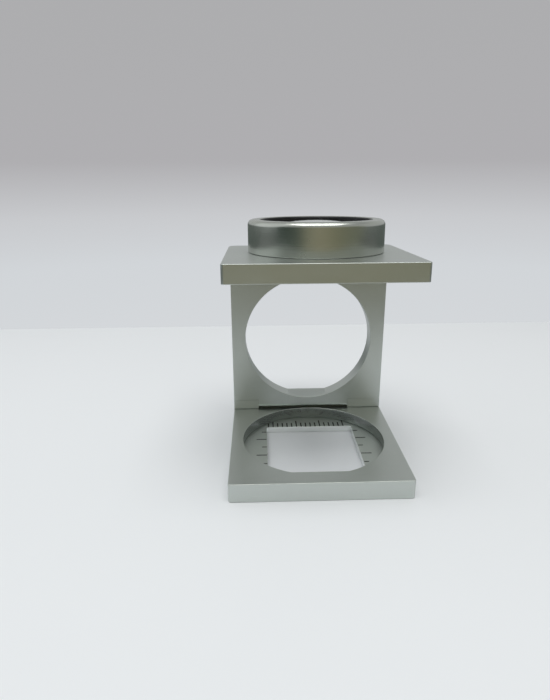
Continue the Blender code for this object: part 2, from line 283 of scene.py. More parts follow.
def satin_group():
    """Blasted and plated metal: cloudy tone, fine grain and sparse hair scratches."""
    group = bpy.data.node_groups.new("satin_surface", "ShaderNodeTree")
    socket_in(group, "Colour", "NodeSocketColor", (0.5, 0.5, 0.5, 1))
    socket_in(group, "Roughness", "NodeSocketFloat", 0.35)
    socket_in(group, "Cloud", "NodeSocketFloat", 0.08)
    socket_in(group, "Grain", "NodeSocketFloat", 1.0)
    socket_in(group, "Scratches", "NodeSocketFloat", 0.5)
    socket_out(group, "Colour", "NodeSocketColor")
    socket_out(group, "Roughness", "NodeSocketFloat")
    socket_out(group, "Height", "NodeSocketFloat")
    nodes, links = group.nodes, group.links
    given = nodes.new("NodeGroupInput")
    result = nodes.new("NodeGroupOutput")
    place = nodes.new("ShaderNodeTexCoord").outputs["Object"]

    cloud = noise(nodes, links, place, 140, 3, 0.55)
    grain = noise(nodes, links, place, 5200, 2, 0.6)
    along = noise(nodes, links, stretched(nodes, links, place, (320, 9000, 5200)), 1.0, 1)
    across = noise(nodes, links, stretched(nodes, links, place, (7500, 260, 6100)), 1.0, 1)
    hair = math_node(nodes, links, "MAXIMUM", along, across)
    hair = ranged(nodes, links, hair, 0.70, 0.80, 0.0, 1.0)
    hair = math_node(nodes, links, "MULTIPLY", hair, given.outputs["Scratches"])

    centred = math_node(nodes, links, "SUBTRACT", cloud, 0.5)
    tone = math_node(nodes, links, "MULTIPLY", centred, given.outputs["Cloud"])
    speck = math_node(nodes, links, "SUBTRACT", grain, 0.5)
    speck = math_node(nodes, links, "MULTIPLY", speck, 0.05)
    tone = math_node(nodes, links, "ADD", tone, speck)
    tone = math_node(nodes, links, "ADD", tone, 1.0)
    scaled = nodes.new("ShaderNodeVectorMath")
    scaled.operation = "SCALE"
    links.new(given.outputs["Colour"], scaled.inputs[0])
    links.new(tone, scaled.inputs["Scale"])
    scratch_tone = math_node(nodes, links, "MULTIPLY", hair, 0.25)
    colour = mixed(nodes, links, scratch_tone, scaled.outputs[0], (0.8, 0.82, 0.8, 1))
    links.new(colour, result.inputs["Colour"])

    shift = math_node(nodes, links, "MULTIPLY", centred, 0.16)
    rough = math_node(nodes, links, "ADD", given.outputs["Roughness"], shift)
    scratch_rough = math_node(nodes, links, "MULTIPLY", hair, -0.1)
    rough = math_node(nodes, links, "ADD", rough, scratch_rough)
    links.new(rough, result.inputs["Roughness"])

    height = math_node(nodes, links, "MULTIPLY", grain, given.outputs["Grain"])
    scratch_depth = math_node(nodes, links, "MULTIPLY", hair, 0.6)
    height = math_node(nodes, links, "SUBTRACT", height, scratch_depth)
    links.new(height, result.inputs["Height"])
    return group


def turned_group():
    """Fine tool marks around an upright axis, by the distance from it and the height."""
    group = bpy.data.node_groups.new("turned_lines", "ShaderNodeTree")
    socket_in(group, "Centre", "NodeSocketVector", (0, 0, 0))
    socket_in(group, "Lines", "NodeSocketFloat", 5200.0)
    socket_out(group, "Height", "NodeSocketFloat")
    nodes, links = group.nodes, group.links
    given = nodes.new("NodeGroupInput")
    result = nodes.new("NodeGroupOutput")
    place = nodes.new("ShaderNodeTexCoord").outputs["Object"]
    offset = nodes.new("ShaderNodeVectorMath")
    offset.operation = "SUBTRACT"
    links.new(place, offset.inputs[0])
    links.new(given.outputs["Centre"], offset.inputs[1])
    split = nodes.new("ShaderNodeSeparateXYZ")
    links.new(offset.outputs[0], split.inputs[0])
    flat = nodes.new("ShaderNodeCombineXYZ")
    links.new(split.outputs["X"], flat.inputs["X"])
    links.new(split.outputs["Y"], flat.inputs["Y"])
    length = nodes.new("ShaderNodeVectorMath")
    length.operation = "LENGTH"
    links.new(flat.outputs[0], length.inputs[0])
    radial = nodes.new("ShaderNodeCombineXYZ")
    links.new(length.outputs["Value"], radial.inputs["X"])
    links.new(split.outputs["Z"], radial.inputs["Z"])
    line = nodes.new("ShaderNodeTexNoise")
    line.inputs["Detail"].default_value = 2
    links.new(given.outputs["Lines"], line.inputs["Scale"])
    links.new(radial.outputs[0], line.inputs["Vector"])
    links.new(line.outputs["Fac"], result.inputs["Height"])
    return group


def new_material(name):
    """A material with its Principled shader; returns the material, its nodes, links and shader."""
    made = bpy.data.materials.new(name)
    made.use_nodes = True
    tree = made.node_tree
    return made, tree.nodes, tree.links, tree.nodes["Principled BSDF"]


def placed_group(nodes, name, **values):
    node = nodes.new("ShaderNodeGroup")
    node.node_tree = bpy.data.node_groups[name]
    for key, value in values.items():
        node.inputs[key].default_value = value
    return node


def bumped(nodes, links, shader, height, strength, distance):
    bump = nodes.new("ShaderNodeBump")
    bump.inputs["Strength"].default_value = strength
    bump.inputs["Distance"].default_value = distance
    links.new(height, bump.inputs["Height"])
    links.new(bump.outputs["Normal"], shader.inputs["Normal"])


def satin_metal(name, colour, roughness, cloud=0.1, grain=1.0, scratches=0.5, bump=0.25):
    made, nodes, links, shader = new_material(name)
    surface = placed_group(
        nodes, "satin_surface", Colour=(*colour, 1), Roughness=roughness, Cloud=cloud, Grain=grain,
        Scratches=scratches,
    )
    links.new(surface.outputs["Colour"], shader.inputs["Base Color"])
    links.new(surface.outputs["Roughness"], shader.inputs["Roughness"])
    shader.inputs["Metallic"].default_value = 1.0
    bumped(nodes, links, shader, surface.outputs["Height"], bump, 0.02 * MM)
    return made


def turned_metal(name, colour, roughness, centre, bump=0.3):
    """Satin metal whose bump follows the tool round its axis."""
    made, nodes, links, shader = new_material(name)
    surface = placed_group(
        nodes, "satin_surface", Colour=(*colour, 1), Roughness=roughness, Cloud=0.1, Grain=0.4,
        Scratches=0.3,
    )
    lines = placed_group(nodes, "turned_lines", Centre=centre, Lines=4200.0)
    links.new(surface.outputs["Colour"], shader.inputs["Base Color"])
    links.new(surface.outputs["Roughness"], shader.inputs["Roughness"])
    shader.inputs["Metallic"].default_value = 1.0
    height = math_node(nodes, links, "ADD", surface.outputs["Height"], lines.outputs["Height"])
    bumped(nodes, links, shader, height, bump, 0.02 * MM)
    return made


def plain_material(name, colour, roughness, metallic=0.0, speckle=600, depth=0.03):
    """Paint, fill or anodising: one colour with a fine uneven sheen."""
    made, nodes, links, shader = new_material(name)
    place = nodes.new("ShaderNodeTexCoord").outputs["Object"]
    fine = noise(nodes, links, place, speckle, 3)
    links.new(ranged(nodes, links, fine, 0.3, 0.7, roughness - 0.06, roughness + 0.06),
              shader.inputs["Roughness"])
    lighter = tuple(min(1, c * 1.12 + 0.002) for c in colour)
    links.new(mixed(nodes, links, fine, (*colour, 1), (*lighter, 1)), shader.inputs["Base Color"])
    shader.inputs["Metallic"].default_value = metallic
    bumped(nodes, links, shader, fine, 0.2, depth * MM)
    return made


def lens_glass():
    made, nodes, links, shader = new_material("lens_glass_clear")
    place = nodes.new("ShaderNodeTexCoord").outputs["Object"]
    smear = noise(nodes, links, place, 260, 3)
    links.new(ranged(nodes, links, smear, 0.45, 0.75, 0.0, 0.03), shader.inputs["Roughness"])
    shader.inputs["Base Color"].default_value = (0.96, 0.99, 0.975, 1)
    shader.inputs["Metallic"].default_value = 0.0
    shader.inputs["Transmission Weight"].default_value = 1.0
    shader.inputs["IOR"].default_value = 1.52
    return made


def build_materials(finish):
    satin_group()
    turned_group()
    leaf, cell, scale = tuple(finish.leaf), tuple(finish.cell), tuple(finish.scale)
    worn = tuple(min(1, c * 1.04) for c in leaf)
    cell_centre = tuple((CELL_PLACE @ Vector((0, 0, 0))) * MM)
    scale_centre = tuple(SCALE_CENTRE * MM)
    satin_metal("leaf_satin", leaf, 0.36)
    satin_metal("leaf_worn_edge", worn, 0.42, cloud=0.25, grain=0.6)
    # The recess wall is the leaf colour at half brightness: painted shade in the recess, over real
    # turned marks in its bump.
    recess_shade_colour = tuple(c * 0.5 for c in leaf)
    turned_metal("recess_turned", recess_shade_colour, 0.2, scale_centre, bump=0.4)
    satin_metal("hinge_shadow", tuple(c * 0.05 for c in leaf), 0.6, scratches=0.1)
    # Near-white walls for the window: painted brightness that stands in for the pale table reflected
    # in them.
    satin_metal("window_cut", (0.9, 0.92, 0.91), 0.3, scratches=0.2)
    turned_metal("cell_turned", cell, 0.25, cell_centre)
    satin_metal("scale_ground", scale, 0.5, cloud=0.15, grain=0.6, scratches=0.8)
    satin_metal("pin_bright", tuple(finish.pin), 0.2, scratches=0.3)
    plain_material("black_anodised_skin", (0.018, 0.018, 0.02), 0.42, metallic=0.4)
    plain_material("mark_filling", (0.012, 0.013, 0.012), 0.5)
    lens_glass()


# ---------------------------------------------------------------- mesh building


def arc(centre, radius, start_deg, end_deg, count):
    """Points on an arc, in the order from start to end."""
    points = []
    for i in range(count + 1):
        angle = radians(start_deg + (end_deg - start_deg) * i / count)
        points.append((centre[0] + radius * cos(angle), centre[1] + radius * sin(angle)))
    return points


def tangent_angle(point, radius, side):
    """Direction, from a circle at the origin, of the tangent point seen from a point outside."""
    return degrees(atan2(point[1], point[0]) + side * acos(radius / hypot(*point)))


def rounded_rectangle(low, high, radii, count=8):
    """A counter-clockwise outline; the radii start at the low corner and go the same way round."""
    corners = (
        ((low[0], low[1]), (1, 1), 180),
        ((high[0], low[1]), (-1, 1), 270),
        ((high[0], high[1]), (-1, -1), 0),
        ((low[0], high[1]), (1, -1), 90),
    )
    outline = []
    for (corner, inward, start), radius in zip(corners, radii):
        centre = (corner[0] + inward[0] * radius, corner[1] + inward[1] * radius)
        outline += arc(centre, radius, start, start + 90, count)
    return outline


def new_object(name, bm):
    """Makes an object from a bmesh in millimetres."""
    bmesh.ops.recalc_face_normals(bm, faces=bm.faces)
    mesh = bpy.data.meshes.new(name)
    bm.to_mesh(mesh)
    bm.free()
    mesh.transform(Matrix.Scale(MM, 4))
    obj = bpy.data.objects.new(name, mesh)
    bpy.context.scene.collection.objects.link(obj)
    return obj


AXIS_ORDER = {"X": (2, 0, 1), "Y": (0, 2, 1), "Z": (0, 1, 2)}    # where x, y and z come from


def prism(name, outline, axis, start, end):
    """An outline carried along an axis: (y, z) points along X, (x, z) along Y or (x, y) along Z."""
    order = AXIS_ORDER[axis]
    bm = bmesh.new()
    verts = []
    for u, v in outline:
        values = (u, v, start)
        verts.append(bm.verts.new([values[i] for i in order]))
    face = bm.faces.new(verts)
    grown = bmesh.ops.extrude_face_region(bm, geom=[face])["geom"]
    shift = Vector([(0, 0, end - start)[i] for i in order])
    moved = [item for item in grown if isinstance(item, bmesh.types.BMVert)]
    bmesh.ops.translate(bm, verts=moved, vec=shift)
    return new_object(name, bm)


def rod(name, radius, axis, centre, start, end, sides=SIDES):
    """A round bar along an axis; centre is its place in the other two directions."""
    circle = arc(centre, radius, 0, 360 * (sides - 1) / sides, sides - 1)
    return prism(name, circle, axis, start, end)


def settled(obj):
    """Applies the object's modifiers to its mesh."""
    bpy.context.view_layer.update()
    evaluated = obj.evaluated_get(bpy.context.evaluated_depsgraph_get())
    mesh = bpy.data.meshes.new_from_object(evaluated, preserve_all_data_layers=True,
                                           depsgraph=bpy.context.evaluated_depsgraph_get())
    obj.modifiers.clear()
    obj.data = mesh
    return obj


def joined(obj, other, operation):
    """Joins, cuts or intersects with another object, which is then removed."""
    modifier = obj.modifiers.new(operation.lower(), "BOOLEAN")
    modifier.operation = operation
    modifier.solver = "EXACT"
    modifier.object = other
    settled(obj)
    bpy.data.objects.remove(other)
    return obj


def flattened(obj):
    """Merges what a cut leaves behind: doubled points and edges inside flat faces."""
    bm = bmesh.new()
    bm.from_mesh(obj.data)
    bmesh.ops.remove_doubles(bm, verts=bm.verts, dist=0.004 * MM)
    bmesh.ops.dissolve_limit(bm, angle_limit=radians(0.4), verts=bm.verts, edges=bm.edges)
    bm.to_mesh(obj.data)
    bm.free()
    return obj


def softened(obj, width, material_index, keep_sharp=None):
    """Rounds the outward edges, but for those whose middle in mm keep_sharp() holds back.

    The rounded bands take the material of that index."""
    flattened(obj)
    bm = bmesh.new()
    bm.from_mesh(obj.data)
    weight = bm.edges.layers.float.new("bevel_weight_edge")
    for edge in bm.edges:
        middle = (edge.verts[0].co + edge.verts[1].co) / 2 / MM
        outward = edge.is_manifold and edge.calc_face_angle_signed(0) > radians(ROUNDED_FROM)
        if outward and not (keep_sharp and keep_sharp(middle)):
            edge[weight] = 1.0
    bm.to_mesh(obj.data)
    bm.free()
    bevel = obj.modifiers.new("round", "BEVEL")
    bevel.width = width * MM
    bevel.segments = 3
    bevel.limit_method = "WEIGHT"
    bevel.use_clamp_overlap = False
    bevel.loop_slide = False
    bevel.material = material_index
    settled(obj)
    return reshaded(obj)


def reshaded(obj):
    """Shades a piece: sharp at its unrounded edges, even over its flats and round its bands."""
    obj.data.shade_smooth()
    obj.data.set_sharp_from_angle(angle=radians(SHADED_SHARP_FROM))
    weighted = obj.modifiers.new("normals", "WEIGHTED_NORMAL")
    weighted.mode = "FACE_AREA"
    weighted.weight = 80
    weighted.keep_sharp = True
    return settled(obj)


def dressed(obj, *materials):
    obj.data.materials.clear()
    for name in materials:
        obj.data.materials.append(bpy.data.materials[name])
    return obj


def turned(name, profile, closed, steps=SIDES):
    """A profile of (radius, height) points turned about Z into a welded mesh."""
    bm = bmesh.new()
    verts = [bm.verts.new((r, 0, z)) for r, z in profile]
    edges = [bm.edges.new(pair) for pair in zip(verts, verts[1:])]
    if closed:
        edges.append(bm.edges.new((verts[-1], verts[0])))
    bmesh.ops.spin(
        bm, geom=verts + edges, cent=(0, 0, 0), axis=(0, 0, 1), angle=2 * pi, steps=steps,
        use_merge=True,
    )
    bmesh.ops.remove_doubles(bm, verts=bm.verts, dist=0.002)
    obj = new_object(name, bm)
    obj.data.shade_smooth()
    obj.data.set_sharp_from_angle(angle=radians(40))
    return obj


def placed(obj, matrix):
    """Moves the mesh itself by a matrix in millimetres, so that the object stays at the origin."""
    offset = matrix.copy()
    offset.translation *= MM
    obj.data.transform(offset)
    return obj


def finished(obj, name, body, slot, *nodes):
    """Names the piece, gives it its body and hides the CAD nodes it replaces. Its slot is not used.
    """
    obj.name = name
    obj.data.name = name
    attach(obj, body)
    if nodes:
        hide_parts(*nodes)
    return obj


def face_material(obj, index, belongs):
    """Gives the faces for which belongs(centre in mm, normal) is true another material."""
    for polygon in obj.data.polygons:
        if belongs(polygon.center / MM, polygon.normal):
            polygon.material_index = index


def lug_ends(knuckle):
    """Ends along X of the two lugs that stand either side of a middle knuckle."""
    return ((-HALF_WIDTH, knuckle[0] - LUG_GAP), (knuckle[1] + LUG_GAP, HALF_WIDTH))


# ---------------------------------------------------------------- pieces


class LOUPE_OT_base_plate(bpy.types.Operator):
    """Builds the base plate with its recess, its stepped seat and two hinge lugs"""

    bl_idname = "loupe.base_plate"
    bl_label = "Base Plate"

    def execute(self, context):
        sizes = context.scene.loupe_sizes
        front, rear = BASE_LOW.y, BACK_REAR
        pin_y, pin_z = LOWER_PIN.y, LOWER_PIN.z
        top = pin_z + LOWER_KNUCKLE_RADIUS
        lug_rear = pin_y + LOWER_KNUCKLE_RADIUS
        beyond = HALF_WIDTH + 1
        plan = rounded_rectangle((-HALF_WIDTH, front), (HALF_WIDTH, rear), [sizes.corner] * 4)
        leaf = prism("leaf", plan, "Z", 0, top)

        # All that stands above the leaf is cut away, except the two lugs
        lug_inner = (LOWER_KNUCKLE[0] - LUG_GAP, LOWER_KNUCKLE[1] + LUG_GAP)
        for low, high in (
            ((-beyond, front - 1), (beyond, FACE_Y)),
            ((-beyond, lug_rear), (beyond, rear + 1)),
            ((lug_inner[0], FACE_Y - 1), (lug_inner[1], rear + 1)),
        ):
            corners = [low, (high[0], low[1]), high, (low[0], high[1])]
            joined(leaf, prism("above", corners, "Z", BASE_THICK, top + 1), "DIFFERENCE")
        # A fine undercut along the foot of each lug
        cut = [(FACE_Y - 0.05, BASE_THICK - 0.1), (FACE_Y + 0.3, BASE_THICK - 0.1)]
        cut += [(FACE_Y + 0.3, BASE_THICK + 0.14), (FACE_Y - 0.05, BASE_THICK + 0.14)]
        for start, end in ((-beyond, lug_inner[0]), (lug_inner[1], beyond)):
            joined(leaf, prism("undercut", cut, "X", start, end), "DIFFERENCE")
        centre = (0, SCALE_CENTRE.y)
        joined(leaf, rod("recess", RECESS_RADIUS, "Z", centre, -1, BASE_THICK + 1), "DIFFERENCE")
        seat_top = SCALE_HIGH.z + 0.06
        joined(leaf, rod("seat", SEAT_RADIUS, "Z", centre, -1, seat_top), "DIFFERENCE")
        bore = rod("bore", PIN_HOLE_RADIUS, "X", (pin_y, pin_z), -beyond, beyond, PIN_HOLE_SIDES)
        joined(leaf, bore, "DIFFERENCE")
        dressed(leaf, "leaf_satin", "leaf_worn_edge", "recess_turned")

        def at_lugs(middle):
            """The lugs' edges and their undercuts' lips, which meet the back plate's seam."""
            beside = not lug_inner[0] < middle.x < lug_inner[1]
            lip = beside and abs(middle.y - FACE_Y) < 0.35 and middle.z > BASE_THICK - 0.15
            return lip or middle.z > BASE_THICK + 0.05

        softened(leaf, sizes.edge, 1, at_lugs)

        def in_recess(point, normal):
            away = hypot(point.x, point.y - SCALE_CENTRE.y)
            return abs(away - RECESS_RADIUS) < 0.05 and abs(normal.z) < 0.3

        # The recess wall takes the darkened turned material: painted shade.
        face_material(leaf, 2, in_recess)
        finished(leaf, "base_leaf", "base", "satin_alloy", "base_plate")
        return {"FINISHED"}


class LOUPE_OT_scale_plate(bpy.types.Operator):
    """Builds the thin scale plate with its square window"""

    bl_idname = "loupe.scale_plate"
    bl_label = "Scale Plate"

    def execute(self, context):
        y, half = SCALE_CENTRE.y, WINDOW / 2
        disc = rod("disc", SCALE_RADIUS, "Z", (0, y), 0.02, SCALE_HIGH.z)
        square = rounded_rectangle((-half, y - half), (half, y + half), [0.35] * 4, 6)
        joined(disc, prism("window", square, "Z", -1, SCALE_HIGH.z + 1), "DIFFERENCE")
        dressed(disc, "scale_ground", "window_cut")
        softened(disc, 0.06, 1)

        def in_window(point, normal):
            inside = max(abs(point.x), abs(point.y - y)) < half + 0.04
            return inside and abs(normal.z) < 0.5

        # The window's walls take the near-white material: painted reflection of the table.
        face_material(disc, 1, in_window)
        finished(disc, "scale_disc", "base", "scale_metal", "scale_plate")
        return {"FINISHED"}


def rule_tree():
    """Geometry nodes for a rule: marks in a row along X, every so many of them longer."""
    tree = bpy.data.node_groups.new("ruled_marks", "GeometryNodeTree")
    tree.is_modifier = True
    socket_in(tree, "Geometry", "NodeSocketGeometry", None)
    socket_in(tree, "Count", "NodeSocketInt", 17)
    socket_in(tree, "Start", "NodeSocketFloat", 0.0)
    socket_in(tree, "Pitch", "NodeSocketFloat", 0.001)
    socket_in(tree, "Every", "NodeSocketInt", 5)
    socket_in(tree, "First Long", "NodeSocketInt", 0)
    socket_in(tree, "Short", "NodeSocketFloat", 0.001)
    socket_in(tree, "Long", "NodeSocketFloat", 0.002)
    socket_in(tree, "Width", "NodeSocketFloat", 0.0002)
    socket_in(tree, "Depth", "NodeSocketFloat", 0.00004)
    socket_in(tree, "Filling", "NodeSocketMaterial", None)
    socket_out(tree, "Geometry", "NodeSocketGeometry")
    nodes, links = tree.nodes, tree.links
    given = nodes.new("NodeGroupInput")
    result = nodes.new("NodeGroupOutput")

    def vector(**parts):
        made = nodes.new("ShaderNodeCombineXYZ")
        for axis, socket in parts.items():
            links.new(socket, made.inputs[axis])
        return made.outputs[0]

    line = nodes.new("GeometryNodeMeshLine")
    line.mode = "OFFSET"
    links.new(given.outputs["Count"], line.inputs["Count"])
    links.new(vector(X=given.outputs["Start"]), line.inputs["Start Location"])
    links.new(vector(X=given.outputs["Pitch"]), line.inputs["Offset"])

    cube = nodes.new("GeometryNodeMeshCube")
    cube.inputs["Size"].default_value = (1, 1, 1)
    to_end = nodes.new("GeometryNodeTransform")
    to_end.inputs["Translation"].default_value = (0, 0.5, 0)
    links.new(cube.outputs["Mesh"], to_end.inputs["Geometry"])

    index = nodes.new("GeometryNodeInputIndex").outputs[0]
    past = math_node(nodes, links, "SUBTRACT", index, given.outputs["First Long"])
    step = math_node(nodes, links, "FLOORED_MODULO", past, given.outputs["Every"])
    is_long = math_node(nodes, links, "LESS_THAN", step, 0.5)
    more = math_node(nodes, links, "SUBTRACT", given.outputs["Long"], given.outputs["Short"])
    length = math_node(nodes, links, "MULTIPLY_ADD", more, is_long, given.outputs["Short"])

    marks = nodes.new("GeometryNodeInstanceOnPoints")
    links.new(line.outputs["Mesh"], marks.inputs["Points"])
    links.new(to_end.outputs["Geometry"], marks.inputs["Instance"])
    size = vector(X=given.outputs["Width"], Y=length, Z=given.outputs["Depth"])
    links.new(size, marks.inputs["Scale"])
    real = nodes.new("GeometryNodeRealizeInstances")
    links.new(marks.outputs["Instances"], real.inputs["Geometry"])
    filled = nodes.new("GeometryNodeSetMaterial")
    links.new(real.outputs["Geometry"], filled.inputs["Geometry"])
    links.new(given.outputs["Filling"], filled.inputs["Material"])
    links.new(filled.outputs["Geometry"], result.inputs["Geometry"])
    return tree


def ruled(name, tree, place, **values):
    """One rule made from the tree, with its place in its mesh."""
    obj = bpy.data.objects.new(name, bpy.data.meshes.new(name))
    bpy.context.scene.collection.objects.link(obj)
    modifier = obj.modifiers.new("marks", "NODES")
    modifier.node_group = tree
    values["Filling"] = bpy.data.materials["mark_filling"]
    for item in tree.interface.items_tree:
        key = item.name.replace(" ", "_")
        if item.item_type == "SOCKET" and item.in_out == "INPUT" and key in values:
            modifier[item.identifier] = values[key]
    settled(obj)
    return placed(obj, place)


class LOUPE_OT_rules(bpy.types.Operator):
    """Rules the scale plate: a fine rule behind the window and a coarse one at each side"""

    bl_idname = "loupe.rules"
    bl_label = "Rules"

    def execute(self, context):
        sizes = context.scene.loupe_sizes
        tree = rule_tree()
        half = WINDOW / 2
        centre = Matrix.Translation((0, SCALE_CENTRE.y, SCALE_HIGH.z))
        from_edge = Matrix.Translation((0, half + 0.12, 0))
        marks = {"Width": sizes.mark_width * MM, "Depth": 0.03 * MM}
        fine = ruled(
            "fine_rule", tree, centre @ from_edge, Count=sizes.fine_count, Start=-8.6 * MM,
            Pitch=sizes.fine_pitch * MM, Every=5, First_Long=1, Short=1.85 * MM, Long=2.8 * MM,
            **marks,
        )
        finished(fine, "fine_rule", "base", "black_anodised")
        coarse = {"Count": 5, "Pitch": sizes.inch_pitch * MM, "Every": 2, "First_Long": 1}
        coarse.update(Short=0.95 * MM, Long=2.05 * MM, **marks)
        for name, turn, start in (("left_rule", pi / 2, -5.8), ("right_rule", -pi / 2, -6.9)):
            place = centre @ Matrix.Rotation(turn, 4, "Z") @ from_edge
            rule = ruled(name, tree, place, Start=start * MM, **coarse)
            finished(rule, name, "base", "black_anodised")
        return {"FINISHED"}


class LOUPE_OT_back_plate(bpy.types.Operator):
    """Builds the back plate with its large hole, its foot knuckle and its head lugs"""

    bl_idname = "loupe.back_plate"
    bl_label = "Back Plate"

    def execute(self, context):
        sizes = context.scene.loupe_sizes
        rear = BACK_REAR
        foot = BASE_THICK + RUN_GAP
        head = LENS_LEVEL_Z - BACK_TOP_GAP
        outline = rounded_rectangle((-HALF_WIDTH, foot), (HALF_WIDTH, head), [sizes.corner] * 4)
        leaf = prism("leaf", outline, "Y", FACE_Y, rear)

        # The middle of the foot is a knuckle: round in front, and flat behind as a stop
        pin_y, pin_z = LOWER_PIN.y, LOWER_PIN.z
        under = BASE_THICK + 0.04
        waste = [(FACE_Y - 1, pin_z)] + arc((pin_y, pin_z), LOWER_KNUCKLE_RADIUS, 180, 264, 16)
        stop_y = pin_y + 0.25
        waste += [(stop_y, under), (stop_y, foot - 2), (FACE_Y - 1, foot - 2)]
        heel_block = [(stop_y, under), (rear, under), (rear, foot + 1), (stop_y, foot + 1)]
        joined(leaf, prism("heel", heel_block, "X", *LOWER_KNUCKLE), "UNION")
        joined(leaf, prism("waste", waste, "X", *LOWER_KNUCKLE), "DIFFERENCE")

        pin = (UPPER_PIN.y, UPPER_PIN.z)
        shoulder = (FACE_Y + 0.3, head - 0.3)
        heel = (rear, head - 3.4)
        from_pin = (shoulder[0] - pin[0], shoulder[1] - pin[1])
        first = tangent_angle(from_pin, UPPER_KNUCKLE_RADIUS, -1)
        from_pin = (heel[0] - pin[0], heel[1] - pin[1])
        last = tangent_angle(from_pin, UPPER_KNUCKLE_RADIUS, 1)
        side = [(FACE_Y + 0.3, heel[1]), shoulder]
        side += arc(pin, UPPER_KNUCKLE_RADIUS, first, first + (last - first) % -360, 24)
        side += [heel]
        for start, end in lug_ends(UPPER_KNUCKLE):
            joined(leaf, prism("lug", side, "X", start, end), "UNION")

        # The large hole leaves a flat land at the foot of its rear half
        hole_z = BASE_THICK + HOLE_UP
        hole = rod("hole", HOLE_RADIUS, "Y", (0, hole_z), FACE_Y - 1, rear + 1)
        land_top = hole_z - HOLE_RADIUS + LAND_RISE
        land_foot = hole_z - HOLE_RADIUS
        ramp_start, ramp_end = FACE_Y + LAND_START - LAND_RISE, FACE_Y + LAND_START + LAND_RISE
        land = [(ramp_start, land_foot - 3), (ramp_start, land_foot), (ramp_end, land_top)]
        land += [(rear + 2, land_top), (rear + 2, land_foot - 3)]
        joined(hole, prism("land", land, "X", -HOLE_RADIUS, HOLE_RADIUS), "DIFFERENCE")
        joined(leaf, hole, "DIFFERENCE")

        # Hollows that swing round the base's lugs
        hollow_radius = LOWER_KNUCKLE_RADIUS * sqrt(2) + LUG_CLEAR
        lip = degrees(acos(LOWER_KNUCKLE_RADIUS / hollow_radius))
        seam_z = pin_z + hollow_radius * sin(radians(lip))
        hollow = [(FACE_Y - 1, BASE_THICK - 1), (FACE_Y - 1, seam_z)]
        hollow += arc((pin_y, pin_z), hollow_radius, 180 - lip, 0, 24)
        hollow += [(pin_y + hollow_radius, BASE_THICK - 1)]
        for start, end in ((-HALF_WIDTH - 1, LOWER_KNUCKLE[0]), (LOWER_KNUCKLE[1], HALF_WIDTH + 1)):
            joined(leaf, prism("hollow", hollow, "X", start, end), "DIFFERENCE")
        for y, z in ((pin_y, pin_z), pin):
            ends = (-HALF_WIDTH - 1, HALF_WIDTH + 1)
            bore = rod("bore", PIN_HOLE_RADIUS, "X", (y, z), *ends, PIN_HOLE_SIDES)
            joined(leaf, bore, "DIFFERENCE")
        dressed(leaf, "leaf_satin", "leaf_worn_edge", "hinge_shadow")

        def at_seams(middle):
            """Edges at the foot's seam, and at the front ends of the head's lugs."""
            head_corner = middle.z > head - 0.6 and middle.y < FACE_Y + 0.6
            return middle.z < seam_z + 0.1 or (head_corner and abs(middle.x) > HALF_WIDTH - 0.6)

        softened(leaf, sizes.edge, 1, at_seams)

        def under_knuckle(point, normal):
            return point.z < pin_z - 0.6 and point.y < stop_y and abs(normal.x) < 0.5

        face_material(leaf, 2, under_knuckle)
        finished(leaf, "back_leaf_plate", "back_leaf", "satin_alloy", "back_plate")
        return {"FINISHED"}


class LOUPE_OT_lens_plate(bpy.types.Operator):
    """Builds the lens plate with its bore, its tongue and its knuckle"""

    bl_idname = "loupe.lens_plate"
    bl_label = "Lens Plate"

    def execute(self, context):
        sizes = context.scene.loupe_sizes
        front = -(PIN_TO_FACE + LENS_LEAF_REACH)
        radii = [sizes.corner, sizes.corner, sizes.rear_corner, sizes.rear_corner]
        plan = rounded_rectangle((-HALF_WIDTH, front), (HALF_WIDTH, -LEAF_CORNER_Y), radii)
        leaf = prism("leaf", plan, "Z", LEAF_UNDER, LEAF_TOP)
        slope = (-3.0, LEAF_TOP)
        first = tangent_angle(slope, UPPER_KNUCKLE_RADIUS, -1)
        start_y = -LEAF_CORNER_Y - 1.3
        tongue = [(start_y, LEAF_UNDER), (start_y, LEAF_TOP), slope]
        tongue += arc((0, 0), UPPER_KNUCKLE_RADIUS, first, -90, 24)
        tongue += [(-1.5, LEAF_UNDER)]
        joined(leaf, prism("tongue", tongue, "X", *UPPER_KNUCKLE), "UNION")
        bore = rod("bore", PLATE_BORE_RADIUS, "Z", (0, CELL_Y), LEAF_UNDER - 1, LEAF_TOP + 1)
        joined(leaf, bore, "DIFFERENCE")
        ends = (-HALF_WIDTH, HALF_WIDTH)
        hole = rod("hole", PIN_HOLE_RADIUS, "X", (0, 0), *ends, PIN_HOLE_SIDES)
        joined(leaf, hole, "DIFFERENCE")
        dressed(leaf, "leaf_satin", "leaf_worn_edge")
        softened(leaf, sizes.edge, 1)
        placed(leaf, LEAF_PLACE)
        finished(leaf, "lens_leaf_plate", "lens_leaf", "satin_alloy", "lens_plate")
        return {"FINISHED"}


